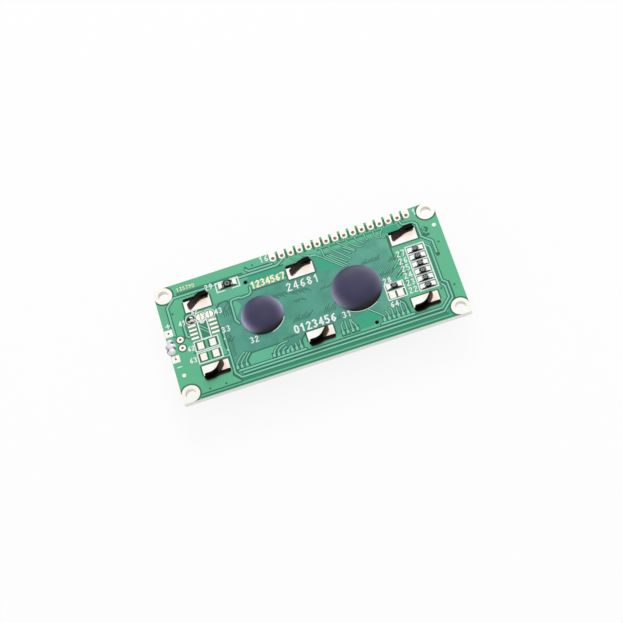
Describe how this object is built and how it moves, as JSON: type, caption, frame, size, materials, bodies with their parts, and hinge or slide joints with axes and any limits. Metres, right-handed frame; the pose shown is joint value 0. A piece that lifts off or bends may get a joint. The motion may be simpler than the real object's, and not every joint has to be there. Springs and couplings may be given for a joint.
{
  "type": "character lcd module",
  "caption": "Character display module: a green circuit board with header lands and epoxy-covered chips, and a black stamped bezel round its display and backlight.",
  "frame": {"origin": "the middle of the corner-hole pattern, on the plane of the bezel's front face, which it lies on", "axes": "+X along the board, +Y towards the header edge, +Z out of the back of the board, with the display facing down"},
  "size_m": [0.0808, 0.036, 0.0104],
  "materials": {
    "solder_mask": "glossy green solder mask over glass-fibre laminate",
    "black_steel": "satin black coated sheet steel",
    "tinned_copper": "bright tinned copper",
    "solder": "shiny solder",
    "resistor_glaze": "black glaze on a ceramic chip",
    "silicon": "polished silicon",
    "dark_epoxy": "dark violet-grey epoxy, semi-gloss",
    "clear_glue": "milky clear glue",
    "polariser_film": "smooth polarising film",
    "display_glass": "clear float glass",
    "cell_adhesive": "cured adhesive",
    "strip_silicone": "pink silicone with a carbon core",
    "white_film": "white film",
    "clear_acrylic": "clear moulded acrylic",
    "white_plastic": "white moulded plastic",
    "led_laminate": "bare laminate",
    "led_resin": "yellow-tinted resin in a white body",
    "tinned_wire": "tinned wire"
  },
  "bodies": {
    "root": {"circuit_board": "solder_mask", "metal_bezel": "black_steel", "header_lands": "tinned_copper", "round_lands": "tinned_copper", "corner_lands": "tinned_copper", "tab_lands": "tinned_copper", "backlight_lands": "tinned_copper", "alignment_marks": "tinned_copper", "jumper_lands": "tinned_copper", "chip_place_lands": "tinned_copper", "capacitor_place_lands": "tinned_copper", "resistor_lands": "tinned_copper", "jumper_solder": "solder", "resistor_solder": "solder", "lead_solder": "solder", "resistor_ends": "solder", "resistor_1": "resistor_glaze", "resistor_2": "resistor_glaze", "resistor_3": "resistor_glaze", "resistor_4": "resistor_glaze", "resistor_5": "resistor_glaze", "resistor_6": "resistor_glaze", "resistor_7": "resistor_glaze", "resistor_8": "resistor_glaze", "small_chip": "silicon", "large_chip": "silicon", "small_epoxy_dome": "dark_epoxy", "large_epoxy_dome": "dark_epoxy", "glue_dab": "clear_glue", "front_polariser": "polariser_film", "rear_polariser": "polariser_film", "front_glass": "display_glass", "rear_glass": "display_glass", "cell_seal": "cell_adhesive", "fill_port_plug": "cell_adhesive", "upper_contact_strip": "strip_silicone", "lower_contact_strip": "strip_silicone", "diffuser_film": "white_film", "reflector_film": "white_film", "light_guide": "clear_acrylic", "backlight_case": "white_plastic", "led_board": "led_laminate", "led_chips": "led_resin", "anode_lead": "tinned_wire", "cathode_lead": "tinned_wire"}
  },
  "joints": []
}
